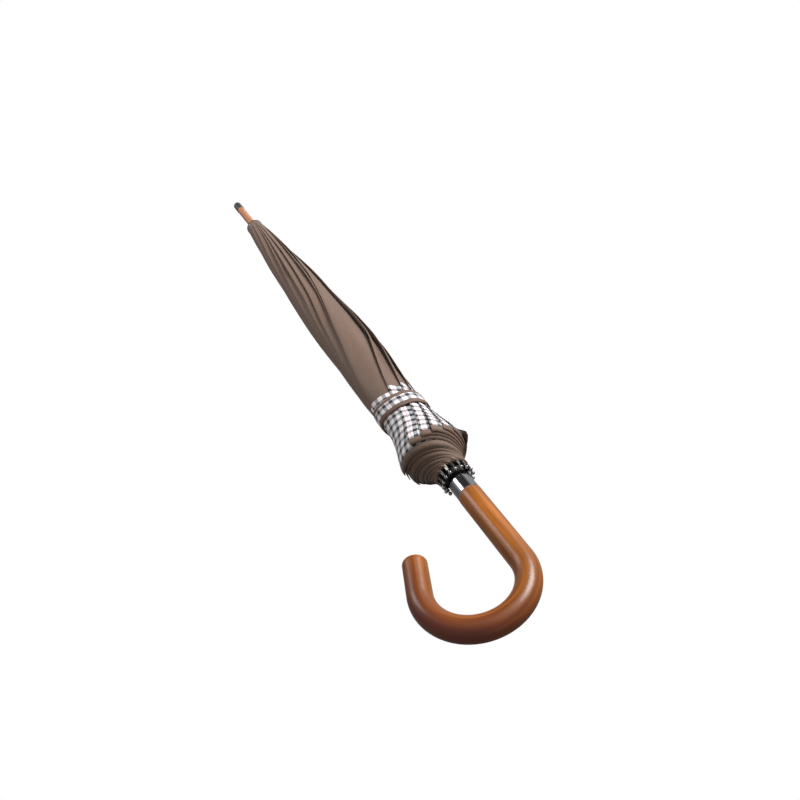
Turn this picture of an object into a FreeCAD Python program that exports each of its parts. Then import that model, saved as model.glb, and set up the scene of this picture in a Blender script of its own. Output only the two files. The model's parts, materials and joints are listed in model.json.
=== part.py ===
"""Stick umbrella, closed and rolled: a crook handle, a wooden shaft, and a ribbed frame with a pleated cover.

The shaft runs along +X towards the tip, and the crook bends to +Y in the horizontal plane.
The origin is on the shaft's axis, halfway along the straight grip. Units are millimetres.
"""

import FreeCAD, Part
import math
import os

from FreeCAD import Vector

# Handle
grip_length = 97.0
grip_radius = 12.4
bend_radius = 49.3
bend_angle = 199.0
bend_thickness = 12.6
nose_length = 42.0
nose_radius = 12.0
socket_depth = 32.0

# Shaft, tip and collar
shaft_radius = 6.5
spike_radius = 5.15
tip_from_grip = 745.0
ferrule_length = 22.0
ferrule_radius = 5.5
tenon_radius = 3.9
tenon_length = 14.0
collar_length = 26.0
collar_radius = 12.1

# Ribs and stretchers
rib_count = 16
pivot_radius = 9.0
crown_from_grip = 652.5
rib_length = 628.0
rib_splay = 0.68
rib_width = 2.6
rib_height = 2.4
rib_wall = 0.45
blade_width = 1.5
blade_height = 2.2
neck_length = 11.0
arm_length = 296.25
stretcher_width = 1.2
stretcher_height = 2.2
ear_half_length = 2.6
rivet_radius = 0.5
ring_wire_radius = 0.45
running_gap = 0.06
ring_gap = 0.15
ball_radius = 2.0
ball_stem_radius = 0.8

# Crown and runner
hub_radius = 10.6
hub_half_length = 8.0
slot_width = 1.9
sleeve_radius = 7.6
sleeve_gap = 0.08
sleeve_above = 24.0
sleeve_below = 32.5
finger_radius = 11.2
finger_length = 15.0
crown_radius = 10.4
crown_below = 7.0
crown_above = 5.0
cap_radius = 11.4
cap_length = 3.5

# Catches and pins
catch_length = 33.5
catch_width = 1.6
catch_slot_width = 2.0
catch_pivot_height = 3.0
catch_pin_radius = 0.8
stop_pin_radius = 1.2
catch_gap = 0.6

# Cover and strap
panel_gap_deg = 1.2
panel_lift = 0.35
hem_from_grip = 62.0
top_from_grip = 657.2
waist_radius = 26.2
strap_from_grip = 143.0
strap_width = 23.0
strap_thickness = 1.2
strap_lift = 0.3
tab_start_deg = 190.0
tab_end_deg = 340.0
tab_gap_deg = 0.8
snap_radius = 6.0
snap_height = 1.4

# Stations along the shaft, from the origin
grip_end = grip_length / 2
crown_x = grip_end + crown_from_grip
joint_x = crown_x - arm_length
runner_x = joint_x - arm_length
tip_x = grip_end + tip_from_grip
open_angle = 65.0
runner_open_x = crown_x - 2 * arm_length * math.cos(math.radians(open_angle))

along = Vector(1, 0, 0)
across = Vector(0, 1, 0)
up = Vector(0, 0, 1)
pitch_deg = 360.0 / rib_count


def save(shape, node):
    shape.exportStep(f"parts/{node}.step")


def turned(outline):
    """A solid of revolution about the shaft's axis from (x, radius) points."""
    points = [Vector(x, r, 0) for x, r in outline]
    wire = Part.makePolygon(points + points[:1])
    return Part.Face(wire).revolve(Vector(0, 0, 0), along, 360)


def rod(radius, length, start, direction):
    return Part.makeCylinder(radius, length, start, direction)


def block(x0, x1, y0, y1, z0, z1):
    return Part.makeBox(x1 - x0, y1 - y0, z1 - z0, Vector(x0, y0, z0))


def plate(outline, thickness):
    """A flat plate in the XZ plane from (x, z) points, centred on Y = 0."""
    points = [Vector(x, -thickness / 2, z) for x, z in outline]
    wire = Part.makePolygon(points + points[:1])
    return Part.Face(wire).extrude(across * thickness)


def ring_wire(x, extra=0.0):
    return Part.makeTorus(pivot_radius, ring_wire_radius + extra, Vector(x, 0, 0), along)


def around(shape, number):
    copy = shape.copy()
    copy.rotate(Vector(0, 0, 0), along, pitch_deg * number)
    return copy


def crook_handle():
    """One bent wooden rod: a straight grip, a long half-turn and a slimmer nose with a round end."""
    bend_start = Vector(-grip_end, 0, 0)
    grip = Part.makeCone(bend_thickness, grip_radius, grip_length, bend_start, along)
    centre = bend_start + Vector(0, bend_radius, 0)
    disc = Part.Face(Part.Wire(Part.makeCircle(bend_thickness, bend_start, along)))
    bend = disc.revolve(centre, -up, bend_angle)
    turn = math.radians(bend_angle)
    nose_start = centre + Vector(-math.sin(turn), -math.cos(turn), 0) * bend_radius
    nose_way = Vector(-math.cos(turn), math.sin(turn), 0)
    nose = Part.makeCone(bend_thickness, nose_radius, nose_length - nose_radius, nose_start, nose_way)
    ball = Part.makeSphere(nose_radius, nose_start + nose_way * (nose_length - nose_radius))
    socket = rod(shaft_radius, socket_depth, Vector(grip_end - socket_depth, 0, 0), along)
    return grip.fuse([bend, nose, ball]).removeSplitter().cut(socket)


def handle_collar():
    """A short metal sleeve, rounded in at its front, that covers the joint of shaft and handle."""
    start = grip_end
    end = start + collar_length
    outline = [
        (start, shaft_radius),
        (start, collar_radius - 0.6),
        (start + 1.0, collar_radius),
        (end - 7.0, collar_radius),
        (end - 3.0, collar_radius - 0.9),
        (end - 0.8, collar_radius - 2.4),
        (end, collar_radius - 3.6),
        (end, shaft_radius),
    ]
    return turned(outline)


def catch_slot(pivot_x, nose_x):
    low, high = sorted((pivot_x, nose_x))
    return block(low - 3.5, high + 3.5, -catch_slot_width / 2, catch_slot_width / 2, 0.8, shaft_radius + 1)


def shaft():
    """The wooden stick, thinner beyond the crown, with a slot for each catch and holes for the pins."""
    taper_end = crown_x - crown_below - 4.0
    ferrule_x = tip_x - ferrule_length
    outline = [
        (grip_end - socket_depth, 0),
        (grip_end - socket_depth, shaft_radius),
        (taper_end - 18.0, shaft_radius),
        (taper_end, spike_radius),
        (ferrule_x, spike_radius),
        (ferrule_x, tenon_radius),
        (ferrule_x + tenon_length, tenon_radius),
        (ferrule_x + tenon_length, 0),
    ]
    body = turned(outline)
    cuts = [catch_slot(bottom_pivot_x, bottom_nose_x), catch_slot(top_pivot_x, top_nose_x)]
    return body.cut(cuts + shaft_pins().Solids)


def ferrule():
    """The metal tip: a cap over the end of the stick with a round nose."""
    start = tip_x - ferrule_length
    ball_x = tip_x - ferrule_radius
    body = rod(ferrule_radius, ferrule_length - ferrule_radius, Vector(start, 0, 0), along)
    nose = Part.makeSphere(ferrule_radius, Vector(ball_x, 0, 0))
    bore = rod(tenon_radius, tenon_length, Vector(start, 0, 0), along)
    return body.fuse(nose).cut(bore)


def crown_slots():
    slot = block(crown_x - crown_below - 1, crown_x + 2, 7.2, crown_radius + 1, -slot_width / 2, slot_width / 2)
    return [around(slot, n) for n in range(rib_count)]


def crown_notch():
    """The slotted crown that the ribs hinge in, with the wire ring that strings them together."""
    start = crown_x - crown_below
    disc = rod(crown_radius, crown_below + crown_above, Vector(start, 0, 0), along)
    bore = rod(spike_radius, crown_below + crown_above, Vector(start, 0, 0), along)
    body = disc.cut([bore] + crown_slots())
    return Part.makeCompound([body.cut(ring_wire(crown_x, 0.02)), ring_wire(crown_x)])


def crown_cap():
    """The dark ring outside the cover, pressed on the stick above the crown."""
    start = crown_x + crown_above
    outline = [
        (start, spike_radius),
        (start, cap_radius),
        (start + 0.9, cap_radius),
        (start + 1.8, cap_radius - 0.6),
        (start + 2.6, cap_radius - 2.2),
        (start + cap_length, spike_radius + 1.2),
        (start + cap_length, spike_radius),
    ]
    return turned(outline)


def catch(pivot_x, nose_x):
    """A sprung blade in the stick: its square shoulder holds the runner, its long back is a ramp."""
    way = 1 if pivot_x > nose_x else -1
    outline = [
        (nose_x, catch_pivot_height),
        (nose_x, sleeve_radius - 0.15),
        (nose_x + way * 1.5, sleeve_radius - 0.05),
        (nose_x + way * 24.0, shaft_radius - 0.3),
        (pivot_x + way * 2.2, shaft_radius - 1.6),
        (pivot_x + way * 2.2, catch_pivot_height - 1.6),
        (pivot_x - way * 4.0, catch_pivot_height - 1.6),
    ]
    pin_hole = rod(catch_pin_radius + running_gap, 20, Vector(pivot_x, -10, catch_pivot_height), across)
    return plate(outline, catch_width).cut(pin_hole)


def shaft_pins():
    """Three cross pins in the stick: the two catch pivots and the stop above the open runner."""
    reach = shaft_radius - 0.2
    pivots = [
        rod(catch_pin_radius, 2 * reach * 0.86, Vector(x, -reach * 0.86, catch_pivot_height), across)
        for x in (bottom_pivot_x, top_pivot_x)
    ]
    stop = rod(stop_pin_radius, 2 * sleeve_radius, Vector(stop_x, 0, -sleeve_radius), up)
    return Part.makeCompound(pivots + [stop])


def runner():
    """The sliding sleeve with a finger grip and a slotted hub, and the wire ring for the stretchers."""
    start = runner_x - sleeve_below
    length = sleeve_below + sleeve_above
    sleeve = rod(sleeve_radius, length, Vector(start, 0, 0), along)
    grip = rod(finger_radius, finger_length, Vector(start, 0, 0), along)
    hub = rod(hub_radius, 2 * hub_half_length, Vector(runner_x - hub_half_length, 0, 0), along)
    bore = rod(shaft_radius + sleeve_gap, length, Vector(start, 0, 0), along)
    slot = block(runner_x - 2, runner_x + hub_half_length + 1, sleeve_radius + 0.15, hub_radius + 1, -0.8, 0.8)
    slots = [around(slot, n) for n in range(rib_count)]
    body = sleeve.fuse([grip, hub]).cut([bore] + slots).cut(ring_wire(runner_x, 0.02))
    return Part.makeCompound([body, ring_wire(runner_x)])


def rib():
    """One rib: a channel open to the inside, its blade at the crown, ears for the stretcher, rivet and ball."""
    half = rib_width / 2
    inner = half - rib_wall
    low = pivot_radius - rib_height / 2
    high = pivot_radius + rib_height / 2
    tip = crown_x - rib_length
    bar = block(tip + 4, crown_x - neck_length, low, high, -half, half)
    hollow = block(tip + 10, crown_x - neck_length - 6, low - 1, high - rib_wall, -inner, inner)
    blade_low = pivot_radius - blade_height / 2
    blade_high = pivot_radius + blade_height / 2
    blade = block(crown_x - neck_length - 1, crown_x, blade_low, blade_high, -blade_width / 2, blade_width / 2)
    eye = rod(blade_height / 2, blade_width, Vector(crown_x, pivot_radius, -blade_width / 2), up)
    stem = rod(ball_stem_radius, 6, Vector(tip, pivot_radius, 0), along)
    straight = bar.cut(hollow).fuse([blade, eye, stem])
    hole = rod(ring_wire_radius + ring_gap, rib_width, Vector(crown_x, pivot_radius, -half), up)
    straight = straight.cut(hole)
    ball = Part.makeSphere(ball_radius, Vector(tip, pivot_radius, 0)).cut(stem)
    pivot = Vector(crown_x, pivot_radius, 0)
    for piece in (straight, ball):
        piece.rotate(pivot, up, -rib_splay)
    wall_y = pivot_radius + arm_length * math.tan(math.radians(rib_splay))
    ear_low = pivot_radius - stretcher_height / 2 - 0.1
    x0, x1 = joint_x - ear_half_length, joint_x + ear_half_length
    ears = [block(x0, x1, ear_low, wall_y, z, z + rib_wall) for z in (-half, inner)]
    rivet = rod(rivet_radius, rib_width, Vector(joint_x, pivot_radius, -half), up)
    return Part.makeCompound([straight.fuse(ears).cut(rivet), ball, rivet])


def stretcher():
    """One stretcher: a flat bar from the rib's ears to the runner's ring, with a round eye at each end."""
    half = stretcher_width / 2
    low = pivot_radius - stretcher_height / 2
    bar = block(runner_x, joint_x, low, low + stretcher_height, -half, half)
    ends = [rod(stretcher_height / 2, stretcher_width, Vector(x, pivot_radius, -half), up) for x in (runner_x, joint_x)]
    rivet_hole = rod(rivet_radius + running_gap, stretcher_width, Vector(joint_x, pivot_radius, -half), up)
    ring_hole = rod(ring_wire_radius + ring_gap, stretcher_width, Vector(runner_x, pivot_radius, -half), up)
    return bar.fuse(ends).cut([rivet_hole, ring_hole])


def cover_profile():
    """The rolled cover's outline from the hem to the crown, as (station from the grip, radius)."""
    strap_low = strap_from_grip - strap_width / 2
    strap_high = strap_from_grip + strap_width / 2
    return [
        (hem_from_grip, 37.5),
        (hem_from_grip + 8, 38.5),
        (105, 31.0),
        (strap_low - 2, waist_radius),
        (strap_high + 4, waist_radius),
        (240, 27.0),
        (340, 28.3),
        (440, 24.3),
        (550, 18.6),
        (620, 14.2),
        (top_from_grip, 11.2),
    ]


def canopy_panel():
    """One gore's share of the rolled cover: a slim wedge around the ribs, open inside for the frame."""
    slope = math.tan(math.radians(rib_splay))
    rib_top = pivot_radius + rib_height / 2 + panel_lift
    inside = [
        (top_from_grip, rib_top + slope * (crown_from_grip - top_from_grip)),
        (hem_from_grip, rib_top + slope * (crown_from_grip - hem_from_grip)),
    ]
    points = [Vector(grip_end + t, r, 0) for t, r in cover_profile() + inside]
    face = Part.Face(Part.makePolygon(points + points[:1]))
    face.rotate(Vector(0, 0, 0), along, panel_gap_deg / 2)
    return face.revolve(Vector(0, 0, 0), along, pitch_deg - panel_gap_deg)


def strap_band(start_deg, end_deg):
    """A stretch of the strap round the waist, between two angles about the shaft."""
    inner = waist_radius + strap_lift
    x0 = grip_end + strap_from_grip - strap_width / 2
    outline = [(x0, inner), (x0 + strap_width, inner)]
    outline += [(x0 + strap_width, inner + strap_thickness), (x0, inner + strap_thickness)]
    points = [Vector(x, r, 0) for x, r in outline]
    face = Part.Face(Part.makePolygon(points + points[:1]))
    face.rotate(Vector(0, 0, 0), along, start_deg)
    return face.revolve(Vector(0, 0, 0), along, end_deg - start_deg)


def strap_tab():
    """The strap's free end, with the cap of its snap fastener."""
    band = strap_band(tab_start_deg + tab_gap_deg, tab_end_deg - tab_gap_deg)
    outer = waist_radius + strap_lift + strap_thickness
    at = Vector(grip_end + strap_from_grip, outer - 0.7, 0)
    cap = rod(snap_radius, snap_height + 0.7, at, across)
    cap.rotate(Vector(0, 0, 0), along, tab_start_deg + 18)
    return Part.makeCompound([band, cap.cut(band)])


bottom_nose_x = runner_x + sleeve_above + catch_gap
bottom_pivot_x = bottom_nose_x + catch_length
top_nose_x = runner_open_x - sleeve_below - catch_gap
top_pivot_x = top_nose_x - catch_length
stop_x = runner_open_x + sleeve_above + catch_gap + stop_pin_radius

os.makedirs("parts", exist_ok=True)
save(crook_handle(), "crook_handle")
save(handle_collar(), "handle_collar")
save(shaft(), "shaft")
save(ferrule(), "ferrule")
save(crown_notch(), "crown_notch")
save(crown_cap(), "crown_cap")
save(shaft_pins(), "shaft_pins")
save(catch(bottom_pivot_x, bottom_nose_x), "bottom_catch")
save(catch(top_pivot_x, top_nose_x), "top_catch")
save(runner(), "runner")
save(strap_band(tab_end_deg - 360, tab_start_deg), "tie_strap")
save(strap_tab(), "strap_tab")
one_rib = rib()
one_stretcher = stretcher()
one_panel = canopy_panel()
for number in range(rib_count):
    save(around(one_rib, number), f"rib_{number + 1:02d}")
    save(around(one_stretcher, number), f"stretcher_{number + 1:02d}")
    save(around(one_panel, number), f"canopy_panel_{number + 1:02d}")
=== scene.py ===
import json
import math

import bmesh
import bpy
import numpy as np
from mathutils import Matrix, Vector


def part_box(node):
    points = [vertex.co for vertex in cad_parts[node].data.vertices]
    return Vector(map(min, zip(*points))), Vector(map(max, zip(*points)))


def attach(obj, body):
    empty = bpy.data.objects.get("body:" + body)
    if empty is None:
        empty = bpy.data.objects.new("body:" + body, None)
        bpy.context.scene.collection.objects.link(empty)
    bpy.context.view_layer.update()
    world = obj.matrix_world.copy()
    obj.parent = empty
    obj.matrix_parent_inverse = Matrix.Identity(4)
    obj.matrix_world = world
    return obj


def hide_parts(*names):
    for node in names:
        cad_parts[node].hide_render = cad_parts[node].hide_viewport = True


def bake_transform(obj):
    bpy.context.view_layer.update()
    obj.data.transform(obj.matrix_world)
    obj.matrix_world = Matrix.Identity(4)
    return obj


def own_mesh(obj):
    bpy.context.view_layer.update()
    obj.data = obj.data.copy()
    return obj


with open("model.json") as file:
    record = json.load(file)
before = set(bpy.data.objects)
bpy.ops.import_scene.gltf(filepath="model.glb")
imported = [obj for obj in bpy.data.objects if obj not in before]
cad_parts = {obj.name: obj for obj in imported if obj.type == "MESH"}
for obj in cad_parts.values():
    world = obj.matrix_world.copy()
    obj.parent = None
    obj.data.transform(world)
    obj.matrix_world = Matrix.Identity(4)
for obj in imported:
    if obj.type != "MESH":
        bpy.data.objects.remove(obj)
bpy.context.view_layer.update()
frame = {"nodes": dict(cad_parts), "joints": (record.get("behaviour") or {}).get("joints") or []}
scene = bpy.context.scene


# The camera stands above the crook, a little to its open side, and looks down
# the stick towards the tip, leaning over by about a sixteenth of a turn.
camera_data = bpy.data.cameras.new("camera")
camera_data.lens = 46.53
camera_data.sensor_width = 36.0
camera_data.clip_start = 0.02
camera_data.clip_end = 60.0
camera = bpy.data.objects.new("camera", camera_data)
camera_right = Vector((-0.42150, -0.88035, -0.21753))
camera_up = Vector((0.51803, -0.43064, 0.73905))
camera_back = camera_right.cross(camera_up)
camera.matrix_world = Matrix.LocRotScale(
    Vector((-0.6209, 0.2195, 0.7215)),
    Matrix((camera_right, camera_up, camera_back)).transposed().to_quaternion(),
    None,
)
scene.collection.objects.link(camera)
scene.camera = camera


# The room: a white backdrop that only the camera sees, a large soft key
# light, and a strip light and a sky of pale and dark parts for the reflections.
def linear(red, green, blue):
    """A colour from its 0 to 255 screen values."""
    parts = [v / 255 for v in (red, green, blue)]
    return tuple(v / 12.92 if v <= 0.04045 else ((v + 0.055) / 1.055) ** 2.4 for v in parts) + (1.0,)


def new_material(name):
    """(material, its nodes, a call that joins two sockets, its main shader)."""
    material = bpy.data.materials.new(name)
    material.use_nodes = True
    nodes = material.node_tree.nodes
    return material, nodes, material.node_tree.links.new, nodes["Principled BSDF"]


def add_node(nodes, kind, **settings):
    """A node with its properties and its inputs' values set by name."""
    node = nodes.new(kind)
    for key, value in settings.items():
        if hasattr(node, key):
            setattr(node, key, value)
        else:
            node.inputs[key.replace("_", " ")].default_value = value
    return node


def feed(join, value, socket):
    """Join a socket to an input, or set the input to a plain value."""
    if isinstance(value, bpy.types.NodeSocket):
        join(value, socket)
    else:
        socket.default_value = value


def surface(shader, **settings):
    """Set a shader's inputs by name."""
    for key, value in settings.items():
        shader.inputs[key.replace("_", " ")].default_value = value


def grey(light):
    """A plain grey of a given lightness."""
    return (light, light, light, 1)


def ramped(nodes, join, factor, stops, interpolation="LINEAR"):
    """A colour that follows a factor through (place, colour) stops, given from low to high."""
    ramp = nodes.new("ShaderNodeValToRGB")
    ramp.color_ramp.interpolation = interpolation
    for number, (place, colour) in enumerate(stops):
        elements = ramp.color_ramp.elements
        stop = elements[number] if number < 2 else elements.new(place)
        stop.position, stop.color = place, colour
    join(factor, ramp.inputs["Fac"])
    return ramp.outputs["Color"]


def mixed(nodes, join, factor, first, second, blend_type="MIX"):
    """A colour that goes from first to second by a factor; each may be a socket or a colour."""
    mix = nodes.new("ShaderNodeMix")
    mix.data_type = "RGBA"
    mix.blend_type = blend_type
    for socket, value in ((mix.inputs[0], factor), (mix.inputs[6], first), (mix.inputs[7], second)):
        feed(join, value, socket)
    return mix.outputs[2]


def remapped(nodes, join, value, **ends):
    """A value moved from one range into another, and held at its ends."""
    step = add_node(nodes, "ShaderNodeMapRange", **ends)
    join(value, step.inputs["Value"])
    return step.outputs["Result"]


def computed(nodes, join, operation, first, second=0.5):
    """A sum done on two values, each of them a socket or a number."""
    step = add_node(nodes, "ShaderNodeMath", operation=operation)
    feed(join, first, step.inputs[0])
    feed(join, second, step.inputs[1])
    return step.outputs[0]


def separated(nodes, join, triple):
    """The three parts of a place or a colour."""
    parts = nodes.new("ShaderNodeSeparateXYZ")
    join(triple, parts.inputs[0])
    return parts.outputs["X"], parts.outputs["Y"], parts.outputs["Z"]


dome_form = bmesh.new()
bmesh.ops.create_icosphere(dome_form, subdivisions=4, radius=14)
bmesh.ops.reverse_faces(dome_form, faces=dome_form.faces)
dome_mesh = bpy.data.meshes.new("white_backdrop")
dome_form.to_mesh(dome_mesh)
dome_form.free()
backdrop = bpy.data.objects.new("white_backdrop", dome_mesh)
scene.collection.objects.link(backdrop)
backdrop_paint, nodes, join, shader = new_material("backdrop_white")
surface(shader, Base_Color=(0.0, 0.0, 0.0, 1), Specular_IOR_Level=0.0)
surface(shader, Emission_Color=(1, 1, 1, 1), Emission_Strength=1.0)
dome_mesh.materials.append(backdrop_paint)
backdrop.visible_diffuse = False
backdrop.visible_glossy = False
backdrop.visible_transmission = False
backdrop.visible_shadow = False

# The sky is pale, darker ahead of the tip and towards the crook's open side, so
# that the metal and the varnish have something dark to show beside the lights.
SKY_BANDS = (
    (0.0, 0.75), (0.30, 0.30), (0.46, 0.22), (0.52, 0.30), (0.56, 0.75),
    (0.66, 0.75), (0.71, 0.10), (0.86, 0.10), (0.92, 0.9), (1.0, 0.8),
)
world = bpy.data.worlds.new("studio")
scene.world = world
world.use_nodes = True
sky, sky_link = world.node_tree.nodes, world.node_tree.links.new
sky_way = sky.new("ShaderNodeTexCoord")
sky_x, sky_y, sky_z = separated(sky, sky_link, sky_way.outputs["Generated"])
sky_turn = computed(sky, sky_link, "ARCTAN2", sky_z, sky_y)
sky_share = remapped(sky, sky_link, sky_turn, From_Min=-math.pi, From_Max=math.pi)
sky_around = ramped(sky, sky_link, sky_share, [(place, grey(light)) for place, light in SKY_BANDS])
sky_ahead = remapped(sky, sky_link, sky_x, From_Min=0.25, From_Max=0.55)
sky_height = remapped(sky, sky_link, sky_z, From_Min=-1.0, To_Min=0.14, To_Max=0.62)
sky_colour = mixed(sky, sky_link, sky_ahead, sky_height, sky_around)
sky_link(sky_colour, sky["Background"].inputs["Color"])
sky["Background"].inputs["Strength"].default_value = 0.9
scene.view_settings.view_transform = "Standard"


def area_light(name, place, target, size, watts):
    """A rectangular lamp that looks at a target."""
    data = bpy.data.lights.new(name, "AREA")
    data.shape = "RECTANGLE"
    data.size, data.size_y = size
    data.energy = watts
    lamp = bpy.data.objects.new(name, data)
    lamp.location = place
    lamp.rotation_euler = (Vector(target) - Vector(place)).to_track_quat("-Z", "Y").to_euler()
    scene.collection.objects.link(lamp)


area_light("key_light", (0.5, -2.2, 2.4), (0.2, 0, 0), (1.6, 1.6), 170)
area_light("streak_light", (1.6, 1.1, 1.3), (0.1, 0, 0), (0.5, 1.0), 12)


# The cover is sixteen gores of brown cloth, sewn over the ribs and to the crown. Rolled,
# each is one doubled pleat wound over those before it; open, it spans its two ribs, with
# a checked border and a bound hem. Distances s run from the crown towards the handle.
GORES = 16
STEP_DEG = 360 / GORES
STEP = math.radians(STEP_DEG)
joint_of = {j["child"]: j for j in frame["joints"]}
crown_x = joint_of["rib_01"]["pos_m"][0]
pivot_radius = math.hypot(*joint_of["rib_01"]["pos_m"][1:])
rib_reach = crown_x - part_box("rib_01")[0][0]
SEAM_LIFT = 0.00165
RIB_SPLAY = math.radians(0.68)
CLOTH_THICKNESS = 0.00024
ROWS = 122
COLUMNS = 26
NOSE_POINTS = 5
TOP_REACH = 0.0045
SEAM_LENGTH = rib_reach - 0.0105
HEM_RISE = 0.035
HEM_RECESS = 0.004
HEM_UNEVEN = 0.0020
LONG_SIDE_DEG = 150
LONG_SIDE_RISE = 0.0045
NOSE_LIFT = 0.0015
RAISED_CORNER = 15
# How much of the space between layers stays empty above a pleat, the power that sets
# how fast the layers pile up, and the least depth of the pile.
PLEAT_GAP = 0.74
PILE_POWER = 0.7
LEAST_PILE = 0.0004
WAIST_SAG = 0.0018
HEM_SAG = 0.0016
SAG_WAY = (0.93, -0.37)
# The roll's outer radius in millimetres at distances in metres.
ROLL_OUTLINE = [
    (-0.006, 10.3), (0.0, 11.1), (0.033, 14.2), (0.103, 18.6), (0.213, 24.3),
    (0.313, 28.3), (0.413, 27.0), (0.472, 26.4), (0.495, 26.0), (0.523, 26.2),
    (0.548, 29.8), (0.566, 34.4), (0.576, 36.9), (0.583, 36.8), (0.588, 34.4),
    (0.595, 29.6), (0.604, 24.2), (0.612, 20.2), (0.6195, 18.6),
]
OUTLINE_ROUNDING = 0.009
# The angle round the stick of each pleat's folded edge, at these distances; the
# others, which lie underneath, are spaced evenly between the last and the first.
EDGE_PLACES = (0.0, 0.12, 0.25, 0.37, 0.49, 0.585)
FIRST_EDGE = 5
EDGES = [
    (97, 64, 33, 0, -42, -76),
    (104, 78, 57, 22, -20, -50),
    (114, 98, 74, 38, 0, -30),
    (146, 119, 97, 60, 14, -14),
    (160, 130, 101, 63, 18, -9),
    (190, 170, 140, 129, 82, 53),
    (209, 190, 168, 148, 114, 77),
    (228, 209, 188, 170, 138, 95),
]
# Moves the second seam beside its rib when rolled, so that it clears the rib when open.
# Known fault: at the top end this also pushes the rolled cloth into the crown notch.
MEET_AHEAD, MEET_DROP, MEET_BACK = 0.00059, 0.00143, 0.00193
# Where some pleats stand away from those below: (gore, distance, half length, height).
GAPES = [
    (10, 0.36, 0.08, 0.0032), (9, 0.205, 0.02, 0.0015), (8, 0.198, 0.035, 0.0016),
    (6, 0.165, 0.02, 0.0012), (11, 0.40, 0.08, 0.0030), (12, 0.40, 0.06, 0.0020),
    (10, 0.58, 0.02, 0.0016), (12, 0.575, 0.025, 0.0022), (15, 0.589, 0.009, 0.0062),
    (8, 0.588, 0.012, 0.0018),
]


def smooth(low, high, x):
    """0 at low and 1 at high, with a gentle slope between them."""
    t = np.clip((np.asarray(x) - low) / (high - low), 0, 1)
    return t * t * (3 - 2 * t)


def soft_curve(places, values, x, rounding=0.02):
    """A line through a few places, rounded at each one."""
    fine = np.linspace(places[0] - 0.1, places[-1] + 0.1, 1200)
    step = fine[1] - fine[0]
    half = max(2, round(rounding / step))
    kernel = np.hanning(2 * half + 1)
    padded = np.pad(np.interp(fine, places, values), half, mode="edge")
    return np.interp(x, fine, np.convolve(padded, kernel / kernel.sum(), "valid"))


def outer_radius(s):
    """The roll's outer radius at a distance."""
    places, radii = zip(*ROLL_OUTLINE)
    return soft_curve(places, radii, s, OUTLINE_ROUNDING) / 1000


def seam_radius(s):
    """How far from the stick's middle the seams lie at a distance."""
    return pivot_radius + SEAM_LIFT + np.maximum(s, 0) * math.tan(RIB_SPLAY)


edge_rows = list(EDGES)
last, first_again = np.array(EDGES[-1]), np.array(EDGES[0]) + 360
hidden = GORES - len(EDGES)
for n in range(hidden):
    edge_rows.append(tuple(last + (first_again - last) * (n + 1) / (hidden + 1)))


def wrap_angle(number, s):
    """How far a gore's pleat winds on from its first seam, in radians."""
    order = (number - FIRST_EDGE) % GORES
    edge = soft_curve(EDGE_PLACES, edge_rows[order], s)
    return np.radians((FIRST_EDGE + order) * STEP_DEG - edge)


STACK_S = np.linspace(-0.01, 0.63, 90)
STACK_TURNS = 240
STACK_BLUR = math.radians(24)
HALVINGS = 22


def stacked_turn():
    """The turn that the outermost layer has made at each distance and angle, smoothed round the stick."""
    around = np.arange(STACK_TURNS) * 2 * math.pi / STACK_TURNS
    table = np.zeros((len(STACK_S), STACK_TURNS))
    for lap in range(-1, 2):
        for number in range(GORES):
            seam = (number + lap * GORES) * STEP
            edge = seam - wrap_angle(number, STACK_S)[:, None]
            covers = (edge <= around) & (around <= seam + STEP)
            table = np.maximum(table, np.where(covers, seam + STEP - around, 0))
    waves = np.fft.rfftfreq(STACK_TURNS, 1 / STACK_TURNS)
    soft = np.exp(-0.5 * (waves * STACK_BLUR) ** 2)
    return np.fft.irfft(np.fft.rfft(table, axis=1) * soft, STACK_TURNS, axis=1)


stack = stacked_turn()


def stack_at(angle, s):
    """The outermost layer's turn at any angles and distances, read between those worked out."""
    row = np.clip((s - STACK_S[0]) / (STACK_S[1] - STACK_S[0]), 0, len(STACK_S) - 1.001)
    column = (angle / (2 * math.pi) * STACK_TURNS) % STACK_TURNS
    r0, c0 = row.astype(int), column.astype(int)
    dr, dc = row - r0, column - c0
    c1 = (c0 + 1) % STACK_TURNS
    upper = stack[r0, c0 % STACK_TURNS] * (1 - dc) + stack[r0, c1] * dc
    lower = stack[r0 + 1, c0 % STACK_TURNS] * (1 - dc) + stack[r0 + 1, c1] * dc
    return upper * (1 - dr) + lower * dr


def spiral_radius(turn, angle, s):
    """The radius of cloth that has wound on by a turn from its own seam and now lies at an angle."""
    inner, outer = seam_radius(s), outer_radius(s)
    share = np.maximum(turn, 0) / stack_at(angle, s)
    return inner + np.maximum(outer - inner, LEAST_PILE) * share**PILE_POWER


random = np.random.default_rng(7)
hem_shift = random.uniform(-HEM_UNEVEN, HEM_UNEVEN, GORES)
middle_angles = np.radians((np.arange(GORES) + 0.5) * STEP_DEG - LONG_SIDE_DEG)
hem_shift += LONG_SIDE_RISE * (0.5 + 0.5 * np.cos(middle_angles))


def ripple(angle, s):
    """The slow hollows and swellings of the whole roll, which every layer shares."""
    return (
        0.30 * np.sin(2 * angle + 9 * s + 0.6)
        + 0.25 * np.sin(3 * angle - 17 * s + 2.1)
        + 0.22 * np.sin(angle + 31 * s)
        + 0.18 * np.sin(5 * angle + 23 * s + 4.0)
        + 0.10 * np.sin(9 * angle + 41 * s + 1.0)
    ) * 0.001


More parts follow.
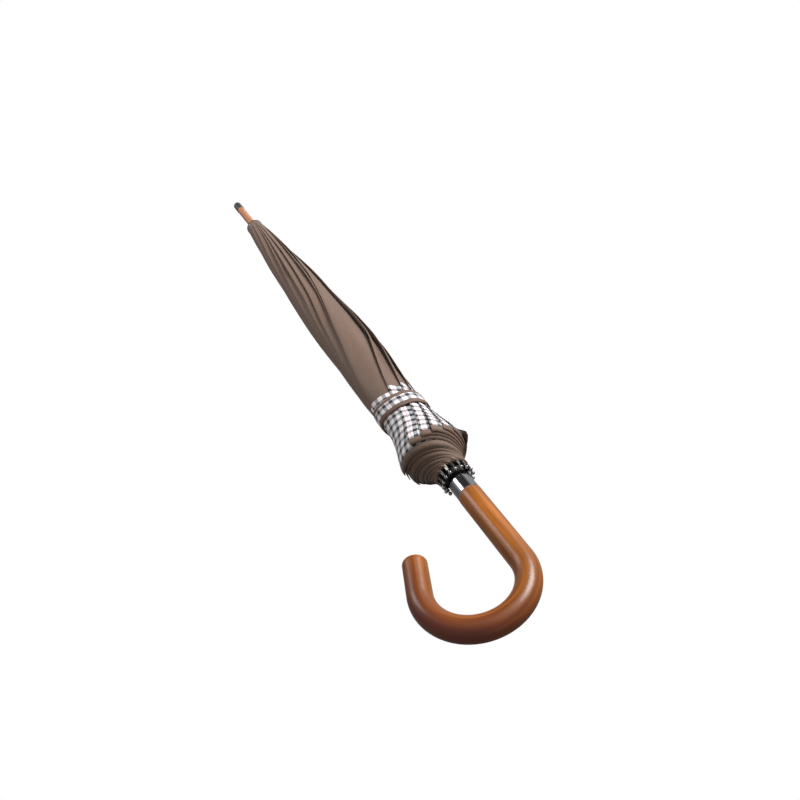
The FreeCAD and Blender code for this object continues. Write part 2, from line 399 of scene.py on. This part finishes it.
def gore_layers(number):
    """One rolled gore: points, cloth places, distances to the hem, and shares of the way across."""
    share = np.linspace(0, 1, COLUMNS) ** 0.9
    nose = np.linspace(-90, 90, NOSE_POINTS + 2)[1:-1]
    column_q = np.concatenate([share, np.ones(NOSE_POINTS), share[::-1]])
    column_side = np.concatenate([np.zeros(COLUMNS), np.ones(NOSE_POINTS), np.full(COLUMNS, 2)])
    column_nose = np.radians(np.concatenate([np.full(COLUMNS, -90), nose, np.full(COLUMNS, 90)]))
    row = np.linspace(0, 1, ROWS)[:, None]
    row = row + 0.05 * np.sin(math.pi * row) * row
    hem = SEAM_LENGTH - (HEM_RISE + hem_shift[number]) * column_q**0.95
    recess = HEM_RECESS * smooth(0, 0.15, column_q) * smooth(1, 0.8, column_q)
    hem = hem - np.where(column_side == 0, recess, 0)
    s = -TOP_REACH + row * (hem[None, :] + TOP_REACH)
    q = np.broadcast_to(column_q, s.shape)
    side = np.broadcast_to(column_side, s.shape)
    bend = np.broadcast_to(column_nose, s.shape)
    seam = number * STEP
    wrap = wrap_angle(number, s)
    first = wrap * q
    second = (wrap + STEP) * q
    second_angle = seam + STEP - second
    above = spiral_radius(second, second_angle, s)
    spacing = above - spiral_radius(np.maximum(second - STEP, 0), second_angle, s)
    radius_first = spiral_radius(first, seam - first, s)
    radius_second = above - PLEAT_GAP * spacing * smooth(0, 0.5, second)
    edge = seam - wrap
    end_first = spiral_radius(wrap, edge, s)
    end_spacing = spiral_radius(wrap + STEP, edge, s) - end_first
    end_second = end_first + end_spacing * (1 - PLEAT_GAP * smooth(0, 0.5, wrap + STEP))
    half = (end_second - end_first) / 2
    nose_radius = (end_first + end_second) / 2 + half * np.sin(bend)
    nose_turn = wrap + half * np.cos(bend) / nose_radius
    radius = np.where(side == 0, radius_first, np.where(side == 2, radius_second, nose_radius))
    turn = np.where(side == 0, first, np.where(side == 2, second - STEP, nose_turn))
    lift = np.zeros(s.shape)
    for gore_number, place, length, height in GAPES:
        if gore_number == number:
            lift = lift + height * np.exp(-(((s - place) / length) ** 2))
    lift = lift + NOSE_LIFT * smooth(0.02, 0.14, s) * (1 - 0.6 * smooth(0.45, 0.49, s))
    if number != RAISED_CORNER:
        lift = lift * (0.35 + 0.65 * smooth(0, 0.02, hem[None, :] - s))
    radius = radius + lift * smooth(0.86, 1.0, q)
    angle = seam - turn
    pile = np.maximum(outer_radius(s) - seam_radius(s), 0.001)
    depth = np.clip((radius - seam_radius(s)) / pile, 0, 1)
    radius = radius + ripple(angle, s) * depth * smooth(0.02, 0.2, s)
    sag = (WAIST_SAG * smooth(0.36, 0.46, s) + HEM_SAG * smooth(0.53, 0.58, s)) * depth
    points = np.stack([
        crown_x - s,
        radius * np.cos(angle) + SAG_WAY[0] * sag,
        radius * np.sin(angle) + SAG_WAY[1] * sag,
    ], axis=-1)
    meet = np.where(side == 2, smooth(0.12, 0, q), 0)[..., None]
    outwards = np.array([0, math.cos(seam + STEP), math.sin(seam + STEP)])
    sideways = np.array([0, -math.sin(seam + STEP), math.cos(seam + STEP)])
    move = np.array([MEET_AHEAD, 0, 0]) - MEET_DROP * outwards - MEET_BACK * sideways
    points = points + meet * move
    across = np.linalg.norm(np.diff(points[..., 1:], axis=1), axis=-1)
    across = np.concatenate([np.zeros((ROWS, 1)), np.cumsum(across, axis=1)], axis=1)
    middle = COLUMNS + NOSE_POINTS // 2
    hem_distance = hem[None, :] - s
    cloth = np.stack([across - across[:, middle : middle + 1], -hem_distance], axis=-1)
    share_across = across / across[:, -1:]
    return points, cloth, hem_distance, share_across


def turning(axis, angle, vectors):
    """Vectors turned about a unit axis, by one angle for each."""
    c, n = np.cos(angle)[..., None], np.sin(angle)[..., None]
    return vectors * c + np.cross(axis, vectors) * n + axis * (vectors @ axis)[..., None] * (1 - c)


def open_angle_across(number, points, weight):
    """How far round the stick from its first rib a point of the cloth lies when the frame is open."""
    spread, rib = joint_of[f"panel_{number + 1:02d}"], joint_of[f"rib_{number + 1:02d}"]
    place = np.array(spread["pos_m"])
    part_turn = weight * math.radians(spread["range_deg"][1])
    moved = place + turning(np.array(spread["axis"]), part_turn, points - place)
    place = np.array(rib["pos_m"])
    full = np.full(weight.shape, math.radians(rib["range_deg"][1]))
    moved = place + turning(np.array(rib["axis"]), full, moved - place)
    round_the_stick = np.arctan2(moved[..., 2], moved[..., 1]) - number * STEP
    return (round_the_stick + math.pi) % (2 * math.pi) - math.pi


def blend_weights(number, points, share_across):
    """How much of the next seam's motion each point takes, so that the open gore lies flat."""
    target = share_across * STEP
    low, high = np.zeros(target.shape), np.ones(target.shape)
    for _ in range(HALVINGS):
        middle = (low + high) / 2
        short = open_angle_across(number, points, middle) < target
        low, high = np.where(short, middle, low), np.where(short, high, middle)
    weight = (low + high) / 2
    weight[:, 0], weight[:, -1] = 0, 1
    return weight


def thick_sheet(name, points, cloth, hem_distance, weight, thickness, flip):
    """A closed sheet from a grid of points, with its cloth places, hem distances and blend weights."""
    rows, columns = points.shape[:2]
    down = np.gradient(points, axis=0)
    side = np.gradient(points, axis=1)
    normal = np.cross(side, down)
    normal /= np.maximum(np.linalg.norm(normal, axis=-1, keepdims=True), 1e-12)
    half = normal * np.asarray(thickness)[..., None] / 2
    both = np.concatenate([(points + half).reshape(-1, 3), (points - half).reshape(-1, 3)])
    count = rows * columns
    index = np.arange(count).reshape(rows, columns)
    a, b, c, d = index[:-1, :-1], index[:-1, 1:], index[1:, 1:], index[1:, :-1]
    front = np.stack([a, b, c, d], axis=-1).reshape(-1, 4)
    back = front[:, ::-1] + count
    rim = np.concatenate([index[0], index[1:, -1], index[-1, -2::-1], index[-2:0:-1, 0]])
    after = np.roll(rim, -1)
    wall = np.stack([after, rim, rim + count, after + count], axis=-1)
    faces = np.concatenate([front, back, wall])
    if flip:
        faces = faces[:, ::-1]
    mesh = bpy.data.meshes.new(name)
    mesh.from_pydata(both.tolist(), [], faces.tolist())
    mesh.polygons.foreach_set("use_smooth", [True] * len(faces))
    uv = mesh.uv_layers.new(name="cloth")
    corner = np.zeros(len(mesh.loops), dtype=np.int32)
    mesh.loops.foreach_get("vertex_index", corner)
    flat = cloth.reshape(-1, 2)
    uv.data.foreach_set("uv", np.concatenate([flat, flat])[corner].ravel().astype(np.float32))
    for key, values in (("hem_distance", hem_distance), ("open_weight", weight)):
        layer = mesh.attributes.new(key, "FLOAT", "POINT")
        layer.data.foreach_set("value", np.tile(values.ravel(), 2).astype(np.float32))
    mesh.update()
    return bpy.data.objects.new(name, mesh)


CHECK_PERIOD = 0.0098
CHECK_BAND = 0.0043
PANE_EVERY = 4
PANE_WIDTH = 0.0008
PANE_STRENGTH = 0.6
BORDER_WIDTH = 0.104
BINDING_WIDTH = 0.0072
HEM_THICKER = 0.00022
# Far more periods than the cloth is wide, which keep the repeated value above 0.
PERIODS_ADDED = 100


def stripes(nodes, join, along, period, width, shift):
    """1 inside stripes of a width that repeat along a value, 0 between them."""
    moved = computed(nodes, join, "ADD", along, shift + PERIODS_ADDED * period)
    within = computed(nodes, join, "MODULO", moved, period)
    return computed(nodes, join, "LESS_THAN", within, width)


def checked(nodes, join, across, down):
    """The border's check: grey bands both ways, near black where they cross, and a thin rose pane."""
    warp = stripes(nodes, join, across, CHECK_PERIOD, CHECK_BAND, CHECK_BAND / 2)
    weft = stripes(nodes, join, down, CHECK_PERIOD, CHECK_BAND, 0.0)
    crossing = computed(nodes, join, "MULTIPLY", computed(nodes, join, "ADD", warp, weft), 0.5)
    yarns = ((0.0, linear(232, 226, 222)), (0.4, linear(150, 150, 156)), (0.9, linear(34, 36, 44)))
    gingham = ramped(nodes, join, crossing, yarns, "CONSTANT")
    shift = -(CHECK_PERIOD + CHECK_BAND) / 2 + PANE_WIDTH / 2
    pane_period = CHECK_PERIOD * PANE_EVERY
    pane_across = stripes(nodes, join, across, pane_period, PANE_WIDTH, shift + CHECK_BAND / 2)
    pane_down = stripes(nodes, join, down, pane_period, PANE_WIDTH, shift)
    pane = computed(nodes, join, "MAXIMUM", pane_across, pane_down)
    pane = computed(nodes, join, "MULTIPLY", pane, PANE_STRENGTH)
    return mixed(nodes, join, pane, gingham, linear(206, 106, 112))


def scaled(nodes, join, place, scale):
    """A texture's place, stretched."""
    stretch = add_node(nodes, "ShaderNodeMapping", Scale=scale)
    join(place, stretch.inputs["Vector"])
    return stretch.outputs[0]


def noise(nodes, join, place, scale, detail, roughness):
    """A cloudy value at a place."""
    texture = add_node(nodes, "ShaderNodeTexNoise", Scale=scale, Detail=detail, Roughness=roughness)
    join(place, texture.inputs["Vector"])
    return texture.outputs["Fac"]


def woven(nodes, join, shader, uv, colour, sheen):
    """Cloth: the colour with its slight slubs and a fine plain weave, and a soft sheen."""
    slub = noise(nodes, join, scaled(nodes, join, uv, (900, 60, 1)), 1.0, 4.0, 0.6)
    drift = noise(nodes, join, uv, 9.0, 3.0, 0.5)
    slubs = ramped(nodes, join, slub, ((0.25, grey(0.86)), (0.75, (1.06, 1.05, 1.04, 1))))
    broad = ramped(nodes, join, drift, ((0.3, (0.93, 0.92, 0.92, 1)), (0.7, (1.04, 1.04, 1.03, 1))))
    toned = mixed(nodes, join, 1.0, colour, slubs, "MULTIPLY")
    join(mixed(nodes, join, 1.0, toned, broad, "MULTIPLY"), shader.inputs["Base Color"])
    grid = scaled(nodes, join, uv, (380, 380, 1))
    threads = []
    for way in ("X", "Y"):
        thread = add_node(nodes, "ShaderNodeTexWave", Scale=1.0, Distortion=0.4, bands_direction=way)
        join(grid, thread.inputs["Vector"])
        threads.append(thread.outputs["Fac"])
    bump = add_node(nodes, "ShaderNodeBump", Strength=0.25, Distance=0.0002)
    join(computed(nodes, join, "MULTIPLY", *threads), bump.inputs["Height"])
    join(bump.outputs[0], shader.inputs["Normal"])
    surface(shader, Roughness=0.62, Specular_IOR_Level=0.35)
    surface(shader, Sheen_Weight=sheen, Sheen_Roughness=0.35, Sheen_Tint=(1.0, 0.93, 0.88, 1))


def cloth_places(nodes, join):
    """A place on the flat cloth, and its parts across and down."""
    place = add_node(nodes, "ShaderNodeUVMap", uv_map="cloth").outputs[0]
    across, down, _ = separated(nodes, join, place)
    return place, across, down


cover_cloth, nodes, join, shader = new_material("cover_cloth")
cloth_place, cloth_across, cloth_down = cloth_places(nodes, join)
body_colour = linear(106, 85, 72)
binding_colour = linear(104, 83, 70)
check_colour = checked(nodes, join, cloth_across, cloth_down)
in_border = computed(nodes, join, "GREATER_THAN", cloth_down, -BORDER_WIDTH)
cloth_colour = mixed(nodes, join, in_border, body_colour, check_colour)
to_hem = add_node(nodes, "ShaderNodeAttribute", attribute_name="hem_distance")
in_binding = computed(nodes, join, "LESS_THAN", to_hem.outputs["Fac"], BINDING_WIDTH)
cloth_colour = mixed(nodes, join, in_binding, cloth_colour, binding_colour)
woven(nodes, join, shader, cloth_place, cloth_colour, 0.25)

rolled = []
for number in range(GORES):
    points, cloth, hem_distance, share_across = gore_layers(number)
    weight = blend_weights(number, points, share_across)
    name = f"cover_gore_{number + 1:02d}"
    bound = smooth(BINDING_WIDTH + 0.0006, BINDING_WIDTH - 0.0004, hem_distance)
    thickness = CLOTH_THICKNESS + HEM_THICKER * bound
    gore = thick_sheet(name, points, cloth, hem_distance, weight, thickness, True)
    rolled.append(points.reshape(-1, 3))
    gore.data.materials.append(cover_cloth)
    scene.collection.objects.link(gore)
    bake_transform(gore)
    values = np.zeros(len(gore.data.vertices), np.float32)
    gore.data.attributes["open_weight"].data.foreach_get("value", values)
    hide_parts(f"canopy_panel_{number + 1:02d}")


# The strap is a tape of the border's cloth with brown edges, sewn to the fourth
# rib's seam. It goes round the roll's waist, and its free end closes with a snap.
STRAP_WIDTH = 0.023
STRAP_EDGE = 0.0055
STRAP_THICKNESS = 0.0008
STRAP_CLEAR = 0.0006
STRAP_COLUMNS = 9
STRAP_MIDDLE = STRAP_COLUMNS // 2
STRAP_BOW = 0.0004
STRAP_RISE = 0.0145
LOW_SIDE_DEG = 112
ROW_DEG = 2.5
NEAR_DEG = 9
HINGE_DEG = -20.0
TAB_FROM_DEG = 190.0
ROOT_DEG = HINGE_DEG - 7.5
SPLIT_DEG = 0.6
SNAP_ROW = 8
SNAP_SIDES = 32
STITCH_ACROSS = 0.0068
STITCH_RAISED = 0.00036
band_low, band_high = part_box("tie_strap")
strap_x = (band_low[0] + band_high[0]) / 2


def strap_centre(degrees):
    """The strap's place along the stick at an angle: it rides up towards the hinge."""
    away = np.abs((np.asarray(degrees) - LOW_SIDE_DEG + 180) % 360 - 180)
    return strap_x + STRAP_RISE * smooth(20, 135, away) * (1 - smooth(150, 179, away))


cloth_points = np.concatenate(rolled)
cloth_radius = np.hypot(cloth_points[:, 1], cloth_points[:, 2])
cloth_degrees = np.degrees(np.arctan2(cloth_points[:, 2], cloth_points[:, 1]))


def strap_grid(start_deg, end_deg):
    """The tape's middle surface between two angles: points, and places along and across it."""
    turn = np.linspace(start_deg, end_deg, max(8, int((end_deg - start_deg) / ROW_DEG)))
    radius = np.zeros(len(turn))
    for n, degrees in enumerate(turn):
        near = np.abs((cloth_degrees - degrees + 180) % 360 - 180) < NEAR_DEG
        near &= np.abs(cloth_points[:, 0] - strap_centre(degrees)) < STRAP_WIDTH / 2
        radius[n] = cloth_radius[near].max()
    kernel = np.hanning(11)[1:-1] / np.hanning(11).sum()
    radius = np.convolve(np.pad(radius, 4, mode="edge"), kernel, "valid")
    radius += STRAP_CLEAR + STRAP_THICKNESS / 2
    across = np.linspace(-STRAP_WIDTH / 2, STRAP_WIDTH / 2, STRAP_COLUMNS)
    angle = np.radians(turn)[:, None]
    bow = STRAP_BOW * (1 - (across / across[-1]) ** 2)
    wide = radius[:, None] + bow[None, :]
    x = strap_centre(turn)[:, None] + across[None, :]
    points = np.stack([x, wide * np.cos(angle), wide * np.sin(angle)], axis=-1)
    steps = np.linalg.norm(np.diff(points[:, STRAP_MIDDLE], axis=0), axis=1)
    along = np.concatenate([[0], np.cumsum(steps)])
    cloth = np.stack(np.broadcast_arrays(along[:, None], across[None, :]), axis=-1)
    return points, cloth


strap_cloth, nodes, join, shader = new_material("strap_cloth")
cloth_place, cloth_across, cloth_down = cloth_places(nodes, join)
strap_check = checked(nodes, join, cloth_across, cloth_down)
from_middle = computed(nodes, join, "ABSOLUTE", cloth_down)
on_edge = computed(nodes, join, "GREATER_THAN", from_middle, STRAP_WIDTH / 2 - STRAP_EDGE)
strap_colour = mixed(nodes, join, on_edge, strap_check, binding_colour)
woven(nodes, join, shader, cloth_place, strap_colour, 0.2)

snap_enamel, nodes, join, shader = new_material("snap_enamel")
surface(shader, Base_Color=linear(96, 78, 68), Roughness=0.3)

stitch_thread, nodes, join, shader = new_material("stitch_thread")
surface(shader, Base_Color=linear(128, 106, 92), Roughness=0.7)
STITCHING = (
    ("Spacing", "NodeSocketFloat", 0.0031),
    ("Stitch length", "NodeSocketFloat", 0.0023),
    ("Thread width", "NodeSocketFloat", 0.00042),
    ("Seed", "NodeSocketInt", 3),
    ("Thread", "NodeSocketMaterial", stitch_thread),
)


def sewn_stitches(name, lines):
    """Rows of separate stitches along lines of points, laid end to end with a gap between them."""
    tree = bpy.data.node_groups.new(name, "GeometryNodeTree")
    tree.interface.new_socket("Geometry", in_out="INPUT", socket_type="NodeSocketGeometry")
    sizes = {}
    for title, kind, _ in STITCHING:
        sizes[title] = tree.interface.new_socket(title, in_out="INPUT", socket_type=kind).identifier
    tree.interface.new_socket("Geometry", in_out="OUTPUT", socket_type="NodeSocketGeometry")
    steps, link = tree.nodes, tree.links.new
    given, result = steps.new("NodeGroupInput"), steps.new("NodeGroupOutput")
    curve = steps.new("GeometryNodeMeshToCurve")
    link(given.outputs["Geometry"], curve.inputs["Mesh"])
    spaced = add_node(steps, "GeometryNodeResampleCurve", mode="LENGTH")
    link(curve.outputs["Curve"], spaced.inputs["Curve"])
    link(given.outputs["Spacing"], spaced.inputs["Length"])
    bead = add_node(steps, "GeometryNodeMeshUVSphere", Segments=6, Rings=4, Radius=0.5)
    size = steps.new("ShaderNodeCombineXYZ")
    link(given.outputs["Stitch length"], size.inputs["X"])
    link(given.outputs["Thread width"], size.inputs["Y"])
    link(given.outputs["Thread width"], size.inputs["Z"])
    stitch = steps.new("GeometryNodeTransform")
    link(bead.outputs["Mesh"], stitch.inputs["Geometry"])
    link(size.outputs["Vector"], stitch.inputs["Scale"])
    way = steps.new("GeometryNodeInputTangent")
    turned = add_node(steps, "FunctionNodeAlignRotationToVector", axis="X")
    link(way.outputs["Tangent"], turned.inputs["Vector"])
    uneven = add_node(steps, "FunctionNodeRandomValue", data_type="FLOAT")
    uneven.inputs[2].default_value, uneven.inputs[3].default_value = 0.88, 1.08
    link(given.outputs["Seed"], uneven.inputs["Seed"])
    rows = steps.new("GeometryNodeInstanceOnPoints")
    link(spaced.outputs["Curve"], rows.inputs["Points"])
    link(stitch.outputs["Geometry"], rows.inputs["Instance"])
    link(turned.outputs["Rotation"], rows.inputs["Rotation"])
    link(uneven.outputs[1], rows.inputs["Scale"])
    real = steps.new("GeometryNodeRealizeInstances")
    link(rows.outputs["Instances"], real.inputs["Geometry"])
    dyed = steps.new("GeometryNodeSetMaterial")
    link(real.outputs["Geometry"], dyed.inputs["Geometry"])
    link(given.outputs["Thread"], dyed.inputs["Material"])
    link(dyed.outputs["Geometry"], result.inputs["Geometry"])
    guide = bpy.data.meshes.new(name + "_guide")
    corners, edges = [], []
    for line in lines:
        edges += [(len(corners) + n, len(corners) + n + 1) for n in range(len(line) - 1)]
        corners += line.tolist()
    guide.from_pydata(corners, edges, [])
    stitches = bpy.data.objects.new(name, guide)
    scene.collection.objects.link(stitches)
    sewing = stitches.modifiers.new("sewing", "NODES")
    sewing.node_group = tree
    for title, _, value in STITCHING:
        sewing[sizes[title]] = value
    evaluated = stitches.evaluated_get(bpy.context.evaluated_depsgraph_get())
    finished = bpy.data.meshes.new_from_object(evaluated)
    stitches.modifiers.clear()
    stitches.data = finished
    return stitches


def add_snap(mesh, centre, outward):
    """A domed snap cap on the tape, joined to its mesh with its own material."""
    rim = [(0.0052, -0.0002), (0.0057, 0.0003), (0.0057, 0.0009), (0.0050, 0.0014), (0.0030, 0.0018)]
    crown_height = 0.0019
    mesh.materials.append(snap_enamel)
    form = bmesh.new()
    form.from_mesh(mesh)
    side = outward.orthogonal().normalized()
    other = outward.cross(side)
    turns = [2 * math.pi * k / SNAP_SIDES for k in range(SNAP_SIDES)]
    rings = []
    for radius, height in rim:
        middle = centre + outward * height
        spokes = [(side * math.cos(t) + other * math.sin(t)) * radius for t in turns]
        rings.append([form.verts.new(middle + spoke) for spoke in spokes])
    top = form.verts.new(centre + outward * crown_height)
    faces = [form.faces.new(rings[0][::-1])]
    for k in range(SNAP_SIDES):
        n = (k + 1) % SNAP_SIDES
        for low, high in zip(rings, rings[1:]):
            faces.append(form.faces.new((low[k], low[n], high[n], high[k])))
        faces.append(form.faces.new((rings[-1][k], rings[-1][n], top)))
    for face in faces:
        face.material_index, face.smooth = 1, True
    form.to_mesh(mesh)
    form.free()


for name, body, node, start_deg, end_deg in (
    ("strap_round_waist", "rib_04", "tie_strap", ROOT_DEG, TAB_FROM_DEG),
    ("strap_free_end", "strap", "strap_tab", TAB_FROM_DEG + SPLIT_DEG, ROOT_DEG + 360 - SPLIT_DEG),
):
    points, cloth = strap_grid(start_deg, end_deg)
    plain_values = np.ones(points.shape[:2])
    thickness = STRAP_THICKNESS * plain_values
    tape = thick_sheet(name, points, cloth, plain_values, plain_values, thickness, False)
    tape.data.materials.append(strap_cloth)
    if node == "strap_tab":
        place = Vector(points[SNAP_ROW, STRAP_MIDDLE])
        outward = Vector((0, place.y, place.z)).normalized()
        add_snap(tape.data, place + outward * STRAP_THICKNESS / 2, outward)
    scene.collection.objects.link(tape)
    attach(tape, body)
    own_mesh(tape)
    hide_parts(node)
    outwards = points[:, STRAP_MIDDLE] * [0, 1, 1]
    outwards /= np.linalg.norm(outwards, axis=1, keepdims=True)
    seam_line = points[:, STRAP_MIDDLE] + outwards * STITCH_RAISED
    rows = [seam_line + [STITCH_ACROSS, 0, 0], seam_line - [STITCH_ACROSS, 0, 0]]
    stitches = sewn_stitches(name + "_stitches", rows)
    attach(stitches, body)
    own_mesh(stitches)


# The crook handle is one steam-bent rod: a straight grip, a bend of a little over
# half a turn and a short nose with a flat, well-rounded end, under thick varnish.
GRIP_RADIUS = 0.0124
BEND_THICKNESS = 0.0126
NOSE_RADIUS = 0.0120
BEND_RADIUS = 0.0493
BEND_TURN = math.radians(199)
NOSE_LENGTH = 0.042
NOSE_ROUNDING = 0.0052
FRONT_ROUNDING = 0.0012
FRONT_DROP = 0.0006
NOSE_DROP = NOSE_ROUNDING * 0.92
SIDES = 56
grip_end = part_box("handle_collar")[0][0]
grip_length = 2 * grip_end
bend_length = BEND_RADIUS * BEND_TURN
crook_length = grip_length + bend_length + NOSE_LENGTH


def crook_line(d):
    """The rod's centre line and its direction, at a distance from the collar."""
    if d <= grip_length:
        return Vector((grip_end - d, 0, 0)), Vector((-1, 0, 0))
    turn = min((d - grip_length) / BEND_RADIUS, BEND_TURN)
    place = Vector((-grip_end - BEND_RADIUS * math.sin(turn), BEND_RADIUS * (1 - math.cos(turn)), 0))
    way = Vector((-math.cos(turn), math.sin(turn), 0))
    return place + way * max(0, d - grip_length - bend_length), way


def crook_radius(d):
    """The rod's radius at a distance from the collar, with both of its ends rounded."""
    to_bend = min(d / grip_length, 1)
    radius = GRIP_RADIUS + (BEND_THICKNESS - GRIP_RADIUS) * to_bend
    radius += (NOSE_RADIUS - BEND_THICKNESS) * float(smooth(grip_length + bend_length * 0.6, crook_length, d))
    front = min(d / FRONT_ROUNDING, 1)
    radius -= FRONT_DROP * (1 - math.sqrt(1 - (1 - front) ** 2))
    into_end = max(0.0, (d - (crook_length - NOSE_ROUNDING)) / NOSE_ROUNDING)
    return radius - NOSE_DROP * (1 - math.sqrt(max(0.0, 1 - into_end**2)))


nose_from = crook_length - NOSE_ROUNDING
nose_turns = [math.radians(a) for a in range(8, 91, 8)]
distances = [0.0, 0.0003, 0.0007, FRONT_ROUNDING] + list(np.linspace(0.003, nose_from, 150))
distances += [crook_length - NOSE_ROUNDING * (1 - math.sin(a)) for a in nose_turns]
distances.append(crook_length - 1e-6)
turns = [2 * math.pi * k / SIDES for k in range(SIDES)]
crook_points, grain_places = [], []
for d in distances:
    place, way = crook_line(d)
    sideways, upwards, radius = Vector((-way.y, way.x, 0)), Vector((0, 0, 1)), crook_radius(d)
    for t in turns:
        crook_points.append(place + (sideways * math.cos(t) + upwards * math.sin(t)) * radius)
        grain_places += [radius * math.cos(t), radius * math.sin(t), d]
crook_points += [crook_line(0.0)[0], crook_line(crook_length)[0]]
grain_places += [0.0, 0.0, 0.0, 0.0, 0.0, crook_length]
crook_faces = []
for row in range(len(distances) - 1):
    for k in range(SIDES):
        n = (k + 1) % SIDES
        low, high = row * SIDES, (row + 1) * SIDES
        crook_faces.append((low + k, low + n, high + n, high + k))
first_pole, last_pole = len(crook_points) - 2, len(crook_points) - 1
last_row = (len(distances) - 1) * SIDES
for k in range(SIDES):
    n = (k + 1) % SIDES
    crook_faces.append((n, k, first_pole))
    crook_faces.append((last_row + k, last_row + n, last_pole))
crook_mesh = bpy.data.meshes.new("bent_wood_handle")
crook_mesh.from_pydata([tuple(p) for p in crook_points], [], crook_faces)
crook_mesh.polygons.foreach_set("use_smooth", [True] * len(crook_faces))
grain_layer = crook_mesh.attributes.new("across_the_grain", "FLOAT_VECTOR", "POINT")
grain_layer.data.foreach_set("vector", grain_places)
crook = bpy.data.objects.new("bent_wood_handle", crook_mesh)

# The handle's wood is orange-brown with a fine figure along the rod. The outside of the bend is darkened
# red-brown, partly by a real stain and partly by painted shade for the bend's shaded underside. There are a
# few filled pores under the varnish.
BEND_STAIN_AND_SHADE_SHARE = 0.92
PORE_SIZE = 0.11
PORE_RARITY = 0.86
PORE_DEPTH = 0.55
handle_varnish, nodes, join, shader = new_material("handle_varnish")
grain_place = add_node(nodes, "ShaderNodeAttribute", attribute_name="across_the_grain").outputs["Vector"]
to_outside, _, along_rod = separated(nodes, join, grain_place)
grain = noise(nodes, join, scaled(nodes, join, grain_place, (300, 300, 11)), 1.0, 5.0, 0.62)
cloud = noise(nodes, join, scaled(nodes, join, grain_place, (60, 60, 11)), 1.0, 3.0, 0.5)
timber = ramped(nodes, join, cloud, ((0.32, linear(122, 68, 18)), (0.68, linear(166, 96, 24))))
figure = ramped(nodes, join, grain, ((0.36, (0.62, 0.52, 0.42, 1)), (0.6, grey(1.0))))
wood = mixed(nodes, join, 1.0, timber, figure, "MULTIPLY")
# Painted shade mixed with a stain: the outside of the bend, its shaded underside, is darkened red-brown, less
# so towards the nose.
stain_and_shade_bend = remapped(nodes, join, along_rod, From_Min=0.125, From_Max=0.195)
stain_and_shade_nose = remapped(nodes, join, along_rod, From_Min=0.305, From_Max=0.25, To_Min=0.45)
stain_and_shade_side = remapped(nodes, join, to_outside, From_Min=-0.008, From_Max=0.009, To_Min=0.25)
stain_and_shade = computed(nodes, join, "MULTIPLY", stain_and_shade_bend, BEND_STAIN_AND_SHADE_SHARE)
stain_and_shade = computed(nodes, join, "MULTIPLY", stain_and_shade, stain_and_shade_nose)
stain_and_shade = computed(nodes, join, "MULTIPLY", stain_and_shade, stain_and_shade_side)
# This dark red-brown is partly stain colour and partly painted shade.
wood = mixed(nodes, join, stain_and_shade, wood, linear(84, 30, 14))
pores = add_node(nodes, "ShaderNodeTexVoronoi", Scale=1.0)
join(scaled(nodes, join, grain_place, (190, 190, 120)), pores.inputs["Vector"])
pore_chance, _, _ = separated(nodes, join, pores.outputs["Color"])
pore_dot = computed(nodes, join, "LESS_THAN", pores.outputs["Distance"], PORE_SIZE)
pore_few = computed(nodes, join, "GREATER_THAN", pore_chance, PORE_RARITY)
pore = computed(nodes, join, "MULTIPLY", pore_dot, pore_few)
wood = mixed(nodes, join, computed(nodes, join, "MULTIPLY", pore, PORE_DEPTH), wood, linear(88, 42, 20))
join(wood, shader.inputs["Base Color"])
surface(shader, Roughness=0.42, Specular_IOR_Level=0.2, Coat_Weight=0.45, Coat_Roughness=0.27)
peel_bump = add_node(nodes, "ShaderNodeBump", Strength=0.12, Distance=0.0015)
join(noise(nodes, join, grain_place, 90.0, 2.0, 0.5), peel_bump.inputs["Height"])
pore_bump = add_node(nodes, "ShaderNodeBump", Strength=0.25, Distance=0.0004)
join(pore, pore_bump.inputs["Height"])
join(peel_bump.outputs[0], pore_bump.inputs["Normal"])
join(pore_bump.outputs[0], shader.inputs["Coat Normal"])
crook_mesh.materials.append(handle_varnish)
scene.collection.objects.link(crook)
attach(crook, "shaft")
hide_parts("crook_handle")


# The stick is satin-varnished wood, paler than the handle. The collar is polished gunmetal,
# the ferrule matt, the crown cap and runner black, the ribs dark nickel, and the catches,
# pins and crown notch bright steel. Each finish has fine wear that follows the piece.
def solid_finish(name, colour, metallic, roughness, streaks=0.0, coat=0.0):
    """A plain finish with small changes of tone and roughness; streaks run along the stick."""
    material, nodes, join, shader = new_material(name)
    place = nodes.new("ShaderNodeTexCoord").outputs["Object"]
    scale = (60, 900, 900) if streaks else (500, 500, 500)
    wear = noise(nodes, join, scaled(nodes, join, place, scale), 1.0, 4.0, 0.6)
    tone = ramped(nodes, join, wear, ((0.3, grey(1 - max(streaks, 0.06))), (0.7, grey(1))))
    join(mixed(nodes, join, 1.0, colour, tone, "MULTIPLY"), shader.inputs["Base Color"])
    rough = remapped(nodes, join, wear, To_Min=roughness * 0.85, To_Max=roughness * 1.25)
    join(rough, shader.inputs["Roughness"])
    surface(shader, Metallic=metallic)
    if coat:
        surface(shader, Coat_Weight=coat, Coat_Roughness=0.2)
    return material


stick_wood = solid_finish("stick_wood", linear(178, 118, 76), 0.0, 0.34, streaks=0.3, coat=0.3)
collar_gunmetal = solid_finish("collar_gunmetal", linear(150, 150, 154), 1.0, 0.09)
ferrule_metal = solid_finish("ferrule_metal", linear(92, 92, 98), 0.9, 0.42)
black_trim = solid_finish("black_trim", linear(20, 18, 17), 0.0, 0.6)
rib_metal = solid_finish("rib_metal", linear(142, 138, 136), 1.0, 0.28)
bright_steel = solid_finish("bright_steel", linear(176, 174, 170), 1.0, 0.24)
finishes = {
    "shaft": stick_wood,
    "handle_collar": collar_gunmetal,
    "ferrule": ferrule_metal,
    "crown_cap": black_trim,
    "runner": black_trim,
    "crown_notch": bright_steel,
    "shaft_pins": bright_steel,
    "bottom_catch": bright_steel,
    "top_catch": bright_steel,
}
for name, node in frame["nodes"].items():
    node.data.materials.clear()
    node.data.materials.append(finishes.get(name, rib_metal))
